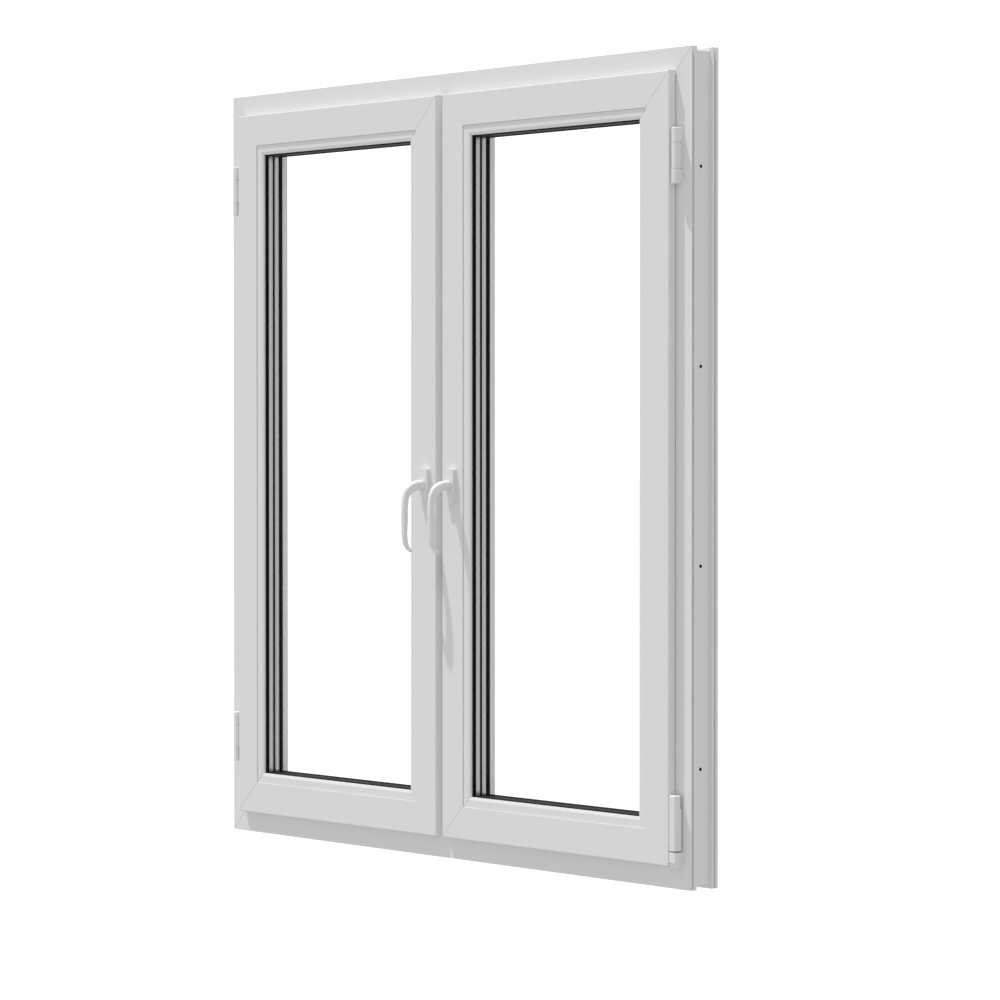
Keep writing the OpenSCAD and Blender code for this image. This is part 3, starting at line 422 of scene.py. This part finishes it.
for hand, turn in (("left", -1), ("right", 1)):
    keep_heights = [middle + KEEP_LIFT[hand] + end * KEEP_SCREW
                    for middle in KEEP_MIDDLES for end in (-1, 1)]
    screws(f"{hand}_keep_screws", "frame", turn * KEEP_FACE, turn, keep_heights)
    screws(f"{hand}_forend_screws", f"{hand}_sash", turn * FOREND_FACE, -turn, FOREND_SCREWS)


# ---- Painted shade: dark sleeves and ring ----
# Black sleeves line the holes for the fixing screws in both jambs, as painted shade inside the
# holes. A black ring on the tilting pin, close under the corner hinge's cover, is painted shade in
# the gap there.

SLEEVE_R, SLEEVE_HOLE, SLEEVE_L, SLEEVE_OUT = 0.00294, 0.00240, 0.0050, 0.6426
FIXING_Y, FIXING_HEIGHTS = 0.027, (0.200, 0.538, 0.870, 1.202)
RING_AT = (0.623, -0.010, 0.0640)
RING_R, RING_HOLE, RING_T = 0.0050, 0.0021, 0.00104


def tube(outer, inner, length):
    """A short tube about Z, turned from the cut of its wall."""
    shape = bmesh.new()
    wall = [shape.verts.new((radius, 0.0, height)) for radius, height in (
        (inner, -length / 2), (outer, -length / 2), (outer, length / 2), (inner, length / 2))]
    edges = [shape.edges.new((wall[corner], wall[corner - 1])) for corner in range(4)]
    bmesh.ops.spin(shape, geom=wall + edges, cent=(0, 0, 0), axis=(0, 0, 1), angle=math.tau,
                   steps=24, use_merge=True)
    return shape


# Dark sleeves: painted shade in the fixing holes.
sleeves = bmesh.new()
for turn in (-1, 1):
    for height in FIXING_HEIGHTS:
        add_part(sleeves, tube(SLEEVE_R, SLEEVE_HOLE, SLEEVE_L), math.pi / 2,
                 (turn * (SLEEVE_OUT - SLEEVE_L / 2), FIXING_Y, height))
make_piece("fixing_hole_shade_sleeves", sleeves, rubber, "frame")
# Dark ring: painted shade in the gap under the cover.
painted_shade_ring = bmesh.new()
add_part(painted_shade_ring, tube(RING_R, RING_HOLE, RING_T), 0.0, RING_AT)
make_piece("right_slip_ring", painted_shade_ring, rubber, "right_sash")


# ---- Hinge backs ----
# Behind the turning middle of each three-part hinge the cast frame leaf goes on from one end part
# to the other, hollowed to the middle's path. The middle is squared out at its back, so that it
# all but touches the leaf, and this corner turns with it.

AXIS_X, AXIS_Y, LEAF_X = 0.623, -0.010, 0.006
SWEEP_R, CORNER_R, BARREL_R = 0.0086, 0.00845, 0.00604
HOLLOW_END, BARREL_FROM, BARREL_TO = (
    math.radians(angle) for angle in (80.0, 60.0, 8.0))
BACK_HALF, CORNER_HALF = 0.0217, 0.0212
BACK_FOOT = 0.00995
HINGE_LOW, HINGE_HIGH = 0.1805, 1.2195


def arc(radius, start, end):
    """Seven points of an arc about the hinge's axis."""
    return [(math.cos(start + (end - start) * share / 6) * radius,
             math.sin(start + (end - start) * share / 6) * radius) for share in range(7)]


def hinge_bar(turn, plan, height, half):
    """An upright bar beside a hinge's axis; turn is 1 on the right and -1 on the left."""
    bar = bmesh.new()
    cut = bar.faces.new([bar.verts.new((turn * (AXIS_X + x), AXIS_Y + y, height - half))
                         for x, y in plan])
    drawn = bmesh.ops.extrude_face_region(bar, geom=[cut])
    bmesh.ops.translate(bar, vec=(0.0, 0.0, 2 * half), verts=[
        item for item in drawn["geom"] if isinstance(item, bmesh.types.BMVert)])
    return bar


hollow = arc(SWEEP_R, math.acos(LEAF_X / SWEEP_R), HOLLOW_END)
leaf_plan = hollow + [(hollow[-1][0], BACK_FOOT), (LEAF_X, BACK_FOOT)]
corner_y = math.sqrt(CORNER_R ** 2 - LEAF_X ** 2)
barrel = arc(BARREL_R, BARREL_FROM, BARREL_TO)
corner_plan = [(LEAF_X, barrel[-1][1]), (LEAF_X, corner_y), (barrel[0][0], corner_y)] + barrel
backs = bmesh.new()
for turn, height in ((-1, HINGE_LOW), (-1, HINGE_HIGH), (1, HINGE_HIGH)):
    add_part(backs, hinge_bar(turn, leaf_plan, height, BACK_HALF), 0.0, (0.0, 0.0, 0.0))
make_piece("hinge_backs", backs, coated, "frame")
corners = bmesh.new()
for height in (HINGE_LOW, HINGE_HIGH):
    add_part(corners, hinge_bar(-1, corner_plan, height, CORNER_HALF), 0.0, (0.0, 0.0, 0.0))
make_piece("left_hinge_corners", corners, coated, "left_sash")
make_piece("right_stay_corner", hinge_bar(1, corner_plan, HINGE_HIGH, CORNER_HALF), coated,
           "right_stay")


# ---- Sashes ----
# Each sash is four PVC-U profiles, cut at 45 degrees and welded like the frame. The outline that
# places the weld lines is the sash's own, with its lap over the frame.

SASH_FOOT, SASH_HEAD = 0.039, 1.361
SASH_IN, SASH_OUT = 0.00915, 0.611
SASH_MIDDLE = (SASH_IN + SASH_OUT) / 2
SASH_HALF = (SASH_OUT - SASH_IN) / 2
SASH_UP = {}

for hand, turn in (("left", -1), ("right", 1)):
    outline = (turn * SASH_MIDDLE, SASH_HALF, SASH_FOOT, SASH_HEAD)
    SASH_UP[hand] = pvc(f"pvc_{hand}_sash_up", ALONG_Z, outline)
    paint(pvc(f"pvc_{hand}_sash_across", ALONG_X, outline), f"{hand}_sash_top",
          f"{hand}_sash_bottom")
    paint(SASH_UP[hand], f"{hand}_hinge_stile", f"{hand}_lock_stile")


# ---- Glazing beads ----
# White PVC-U beads, cut at 45 degrees, clip into the sash on the room side and hold the glass.
# Each has a flat front and a gentle slope towards the glass, over the black gasket.

BEAD = ((0.0584, -0.0145), (0.0712, -0.0145), (0.0763, -0.0129), (0.0763, -0.0080),
        (0.0584, -0.0080))
BEAD_SOFT = 0.0004
MITRE_GAP = 0.00004


def mitred_ring(hand, outlines, soft, gap=0.0):
    """Four bars round a sash, cut at 45 degrees where they meet. Each outline is the closed cut
    of a bar, as points (in from the sash's edge, depth), and soft rounds its corners."""
    ring = bmesh.new()
    middle = SASH_MIDDLE * (-1 if hand == "left" else 1)
    x0, x1 = middle - SASH_HALF, middle + SASH_HALF
    corners = ((x0, SASH_FOOT), (x0, SASH_HEAD), (x1, SASH_HEAD), (x1, SASH_FOOT))
    for outline in outlines:
        for quarter, (x, z) in enumerate(corners):
            length = (x1 - x0, SASH_HEAD - SASH_FOOT)[quarter % 2]
            bar = bmesh.new()
            cut = bar.faces.new([bar.verts.new((0.0, depth, inward)) for inward, depth in outline])
            if soft:
                bmesh.ops.bevel(bar, geom=cut.verts[:], offset=soft, segments=2, profile=0.5,
                                affect="VERTICES", material=-1)
            drawn = bmesh.ops.extrude_face_region(bar, geom=bar.faces[:])
            bmesh.ops.translate(bar, vec=(length, 0.0, 0.0), verts=[
                item for item in drawn["geom"] if isinstance(item, bmesh.types.BMVert)])
            for end, lean in ((gap, -1.0), (length - gap, 1.0)):
                bmesh.ops.bisect_plane(bar, geom=bar.verts[:] + bar.edges[:] + bar.faces[:],
                                       plane_co=(end, 0.0, 0.0), plane_no=(lean, 0.0, 1.0),
                                       clear_outer=True)
                bmesh.ops.holes_fill(bar, edges=bar.edges)
            add_part(ring, bar, quarter * math.pi / 2, (x, 0.0, z))
    return ring


for hand in ("left", "right"):
    make_piece(f"{hand}_bead_bars", mitred_ring(hand, [BEAD], BEAD_SOFT, MITRE_GAP),
               SASH_UP[hand], f"{hand}_sash", [f"{hand}_beads"], smooth=False)


# ---- Glazing gaskets ----
# Black EPDM strips grip the glass from both sides: one under the bead's lip, one in the groove of
# the sash's outdoor stop.

BEAD_GASKET = ((0.0640, -0.0079), (0.0761, -0.0079), (0.0766, -0.0088), (0.0779, -0.0088),
               (0.0785, -0.0080), (0.0785, -0.0064), (0.0640, -0.0064))
STOP_GASKET = ((0.0650, 0.0259), (0.0787, 0.0259), (0.0794, 0.0266), (0.0794, 0.0290),
               (0.0787, 0.0297), (0.0650, 0.0297))

for hand in ("left", "right"):
    make_piece(f"{hand}_glass_gaskets", mitred_ring(hand, [BEAD_GASKET, STOP_GASKET], 0.0),
               rubber, f"{hand}_sash", [f"{hand}_glazing_gaskets"],
               smooth=False)


# ---- Glass ----
# Three panes of clear float glass to each sash, with polished faces and seamed edges. They hold
# back no light from the parts around them.

MIRROR_LEAST, MIRROR_GAIN, MIRROR_POWER = 0.0015, 0.4, 6.0


def glass_finish():
    """Clear glass: what passes straight through, and a reflection that grows at a slant."""
    material = bpy.data.materials.new("clear_glass")
    material.use_nodes = True
    material.node_tree.nodes.clear()
    slant = Wire(material.node_tree.nodes.new("ShaderNodeLayerWeight").outputs["Facing"])
    clear = slant.node("ShaderNodeBsdfTransparent", inputs={"Color": grey(1.0)})
    gloss = slant.node("ShaderNodeBsdfGlossy", inputs={"Roughness": 0.0})
    both = slant.node("ShaderNodeMixShader", inputs={
        0: (slant ** MIRROR_POWER) * MIRROR_GAIN + MIRROR_LEAST, 1: clear, 2: gloss})
    slant.node("ShaderNodeOutputMaterial", inputs={"Surface": both})
    return material


glass = glass_finish()
for hand in ("left", "right"):
    for layer in ("inner", "middle", "outer"):
        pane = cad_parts[f"{hand}_pane_{layer}"]
        paint(glass, pane.name)
        pane.visible_diffuse = pane.visible_glossy = pane.visible_shadow = False


# ---- Glass edge ----
# Perforated aluminium spacer bars filled with drying agent keep the panes apart. A line of black
# butyl bonds each side of a bar to the glass, and black sealant fills the edge behind the bars.
# Grey moulded blocks carry the unit in the sash.

BAR_MIDDLES = (0.0027, 0.0167)
BAR_HALF, BUTYL_HALF = 0.0047, 0.0050
BAR_FOOT, BAR_HEAD, BUTYL_HEAD = 0.0706, 0.0785, 0.0758
BAR_SOFT = 0.0009
UPRIGHT_HALF, UNIT_MIDDLE = 0.5825, 0.700
# The second pair of strip greys darkens the level bars: it is painted shade.
BRIGHT_STRIP, PAINTED_SHADE_STRIP = (grey(0.55), grey(0.95)), (grey(0.13), grey(0.23))
HOLE_PITCH, HOLE_ROW, HOLE_R = 0.0036, 0.0024, 0.0008
# The holes' near-black colour is painted shade inside them.
HOLE_PAINTED_SHADE, HOLE_DEPTH = grey(0.03), 0.0004


def bar_recipe(place, x, y, z):
    """Two rows of pierced holes, painted dark as painted shade, run along each bar. The level
    bars' strip is painted darker than the upright bars', as painted shade.
    """
    grain = noise(place, 1400.0, 2.0)
    low, high = BAR_MIDDLES
    across = abs(abs(abs(y - (low + high) / 2) - (high - low) / 2) - HOLE_ROW)
    along = abs(((x + z) % HOLE_PITCH) - HOLE_PITCH / 2)
    # Each pierced hole is painted near black: painted shade inside it.
    hole = step((across ** 2.0 + along ** 2.0) ** 0.5, HOLE_R * 0.8, HOLE_R * 1.2)
    # The level bars take painted shade: their strip is painted much darker than the upright bars'.
    level_painted_shade = step(UPRIGHT_HALF - abs(z - UNIT_MIDDLE), 0.0001, 0.0004)
    strip_and_painted_shade = mixed(level_painted_shade, mixed(grain, *BRIGHT_STRIP), mixed(grain, *PAINTED_SHADE_STRIP))
    return {"Base Color": mixed(hole, strip_and_painted_shade, HOLE_PAINTED_SHADE), "Metallic": 1.0 - hole,
            "Roughness": grain * 0.1 + 0.18, "Specular IOR Level": 0.1,
            "Specular Tint": grey(0.0), "Height": grain * 0.00002 - hole * HOLE_DEPTH}


def block_recipe(place, x, y, z):
    grain = noise(place, 600.0)
    return {"Base Color": mixed(grain, grey(0.28, 0.03), grey(0.32, 0.04)),
            "Roughness": grain * 0.2 + 0.5, "Height": grain * 0.00003}


def box_cut(foot, head, near, far):
    """The cut of a plain bar, between two distances from the sash's edge and two depths."""
    return ((foot, near), (head, near), (head, far), (foot, far))


pierced = finish("pierced_aluminium", bar_recipe)
bar_cuts = [box_cut(BAR_FOOT, BAR_HEAD, middle - BAR_HALF, middle + BAR_HALF)
            for middle in BAR_MIDDLES]
butyl_cuts = [box_cut(BAR_FOOT, BUTYL_HEAD, *sorted((middle + side * BAR_HALF,
                                                     middle + side * BUTYL_HALF)))
              for middle in BAR_MIDDLES for side in (-1, 1)]
for hand in ("left", "right"):
    make_piece(f"{hand}_spacer_bars", mitred_ring(hand, bar_cuts, BAR_SOFT), pierced,
               f"{hand}_sash", [f"{hand}_spacers"], smooth=False)
    make_piece(f"{hand}_butyl", mitred_ring(hand, butyl_cuts, 0.0), rubber, f"{hand}_sash",
               smooth=False)
paint(rubber, "left_edge_seal", "right_edge_seal")
paint(finish("setting_block", block_recipe), "left_setting_blocks", "right_setting_blocks")


# ---- Handles ----
# The lever is one bent casting. A nearly round neck rises from the plate, turns and flattens into
# a grip with a rounded square section and a curled tip, smooth all over under its white coat.

HANDLE_X = 0.03765
GRIP_TOP, GRIP_START = 0.648, 0.628
GRIP_SPREAD = 1.17

for hand, turn in (("left", -1), ("right", 1)):
    lever = bmesh.new()
    lever.from_mesh(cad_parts[f"{hand}_handle"].data)
    bmesh.ops.remove_doubles(lever, verts=lever.verts, dist=1e-6)
    for vert in lever.verts:
        share = min(1.0, max(0.0, (GRIP_TOP - vert.co.z) / (GRIP_TOP - GRIP_START)))
        spread = 1.0 + (GRIP_SPREAD - 1.0) * share * share * (3.0 - 2.0 * share)
        vert.co.x = turn * HANDLE_X + (vert.co.x - turn * HANDLE_X) * spread
    make_piece(f"{hand}_lever", lever, coated, f"{hand}_handle",
               [f"{hand}_handle"])
